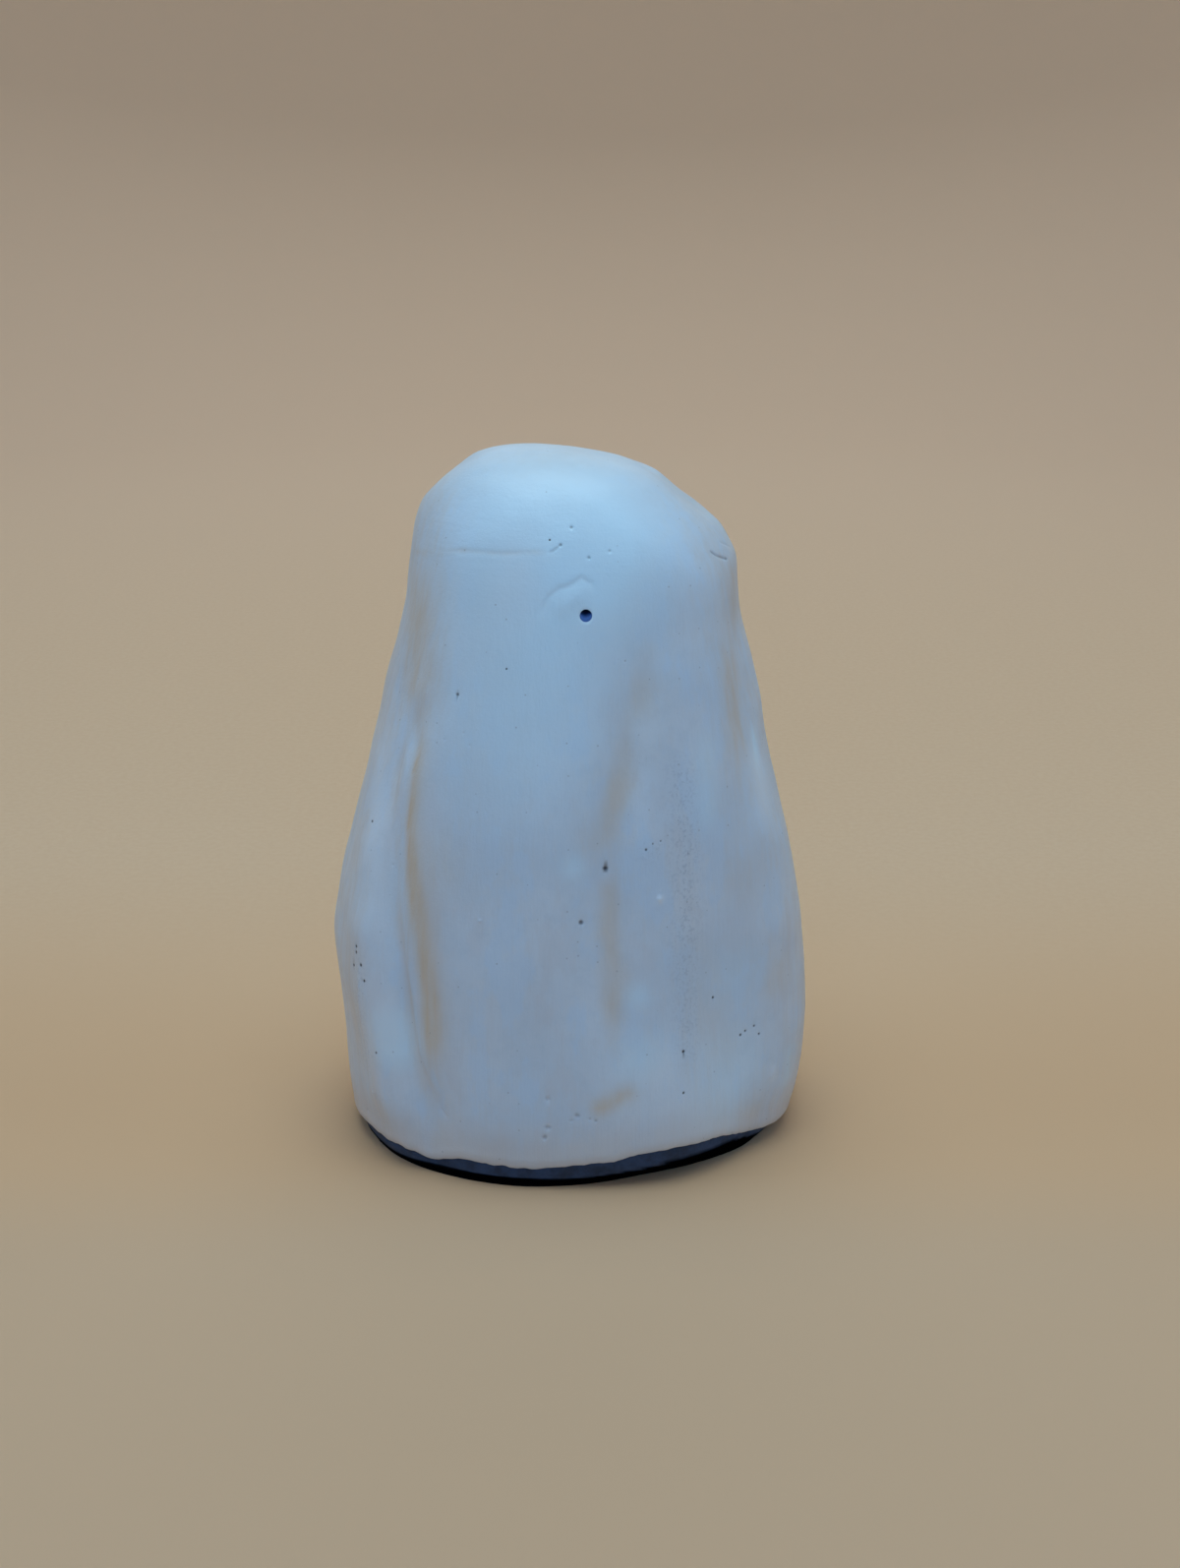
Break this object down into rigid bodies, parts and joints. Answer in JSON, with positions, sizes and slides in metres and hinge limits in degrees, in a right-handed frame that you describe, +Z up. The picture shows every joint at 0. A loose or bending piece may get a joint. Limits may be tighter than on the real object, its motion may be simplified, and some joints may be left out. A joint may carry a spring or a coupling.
{
  "type": "ghost figurine",
  "caption": "Hollow hand-built stoneware ghost under a draped sheet, with matt white glaze, bare dark foot, dimpled face and a vent hole in the back.",
  "frame": {"origin": "on the floor under the middle of the figure's outline", "axes": "+Z up along the figure's height; -Y out of the plain back with the vent hole; +Y out of the face; -X to the ghost's own left"},
  "size_m": [0.0634, 0.0518, 0.0911],
  "materials": {
    "white_glaze": "matt white glaze with a soft satin sheen, thin over creases and wiped away at the foot",
    "black_clay": "bare vitrified black stoneware, dull and finely streaked by the sponge"
  },
  "bodies": {
    "root": {"glaze_coat": "white_glaze", "crown_cap": "black_clay", "wall_slab": "black_clay", "base_slab": "black_clay", "neck_coil": "black_clay", "foot_coil": "black_clay", "seam_coil": "black_clay", "left_arm_roll": "black_clay", "right_arm_roll": "black_clay"}
  },
  "joints": []
}
